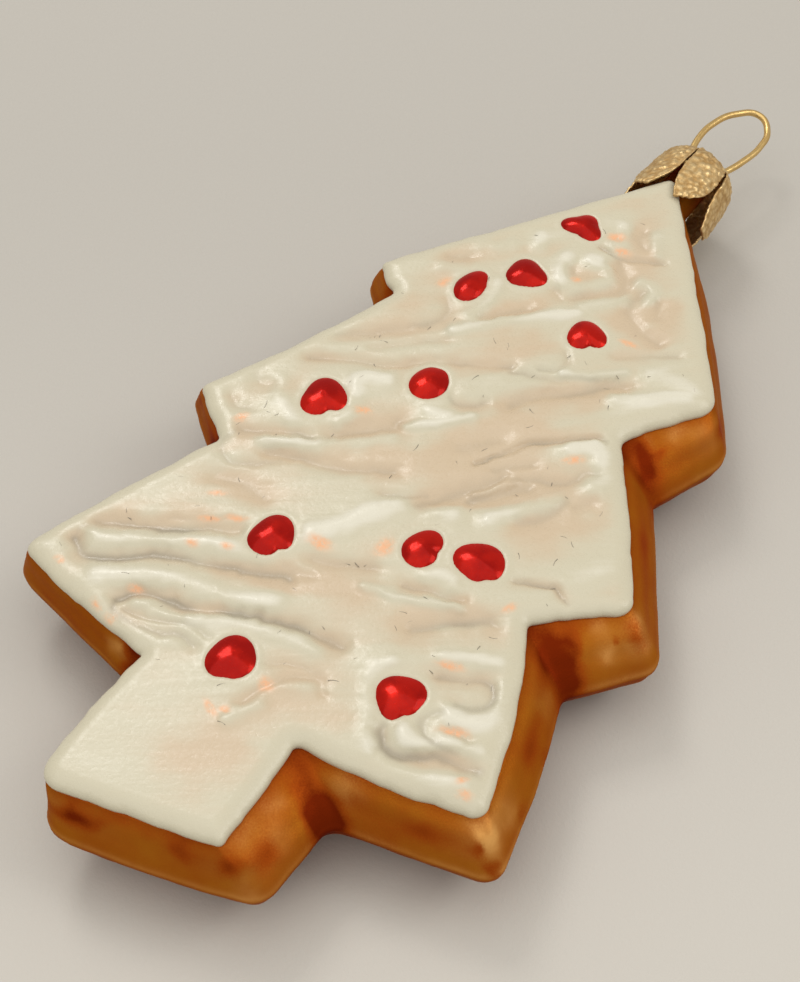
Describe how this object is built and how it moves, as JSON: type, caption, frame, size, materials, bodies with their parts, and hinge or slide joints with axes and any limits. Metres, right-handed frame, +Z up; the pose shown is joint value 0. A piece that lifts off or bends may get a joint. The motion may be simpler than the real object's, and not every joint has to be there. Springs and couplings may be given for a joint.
{
  "type": "iced sugar cookie ornament",
  "caption": "Glass tree ornament made as an iced sugar cookie: white icing, red sweets, browned sides, a gold petal cap and a wire loop; it lies flat or hangs by the loop",
  "frame": {"origin": "on the surface the ornament lies on, under the middle of its whole length and width, loop included", "axes": "+Y along the tree from its trunk to its tip and the loop, +X to the tree's right seen from the iced side, +Z up out of the icing"},
  "size_m": [0.0618, 0.1292, 0.0139],
  "materials": {
    "baked_lacquer": "translucent brown lacquer over glass, satin gloss, darker in the notches",
    "icing_enamel": "brushed cream white enamel, thin in places, soft sheen",
    "red_lacquer": "glossy red lacquer",
    "gold_cap": "embossed thin sheet, gold coloured, satin",
    "gold_wire": "gold coloured wire, satin"
  },
  "bodies": {
    "root": {"cookie_body": "baked_lacquer", "icing": "icing_enamel", "candy_01": "red_lacquer", "candy_02": "red_lacquer", "candy_03": "red_lacquer", "candy_04": "red_lacquer", "candy_05": "red_lacquer", "candy_06": "red_lacquer", "candy_07": "red_lacquer", "candy_08": "red_lacquer", "candy_09": "red_lacquer", "candy_10": "red_lacquer", "candy_11": "red_lacquer", "cap": "gold_cap", "hanging_loop": "gold_wire"}
  },
  "joints": []
}
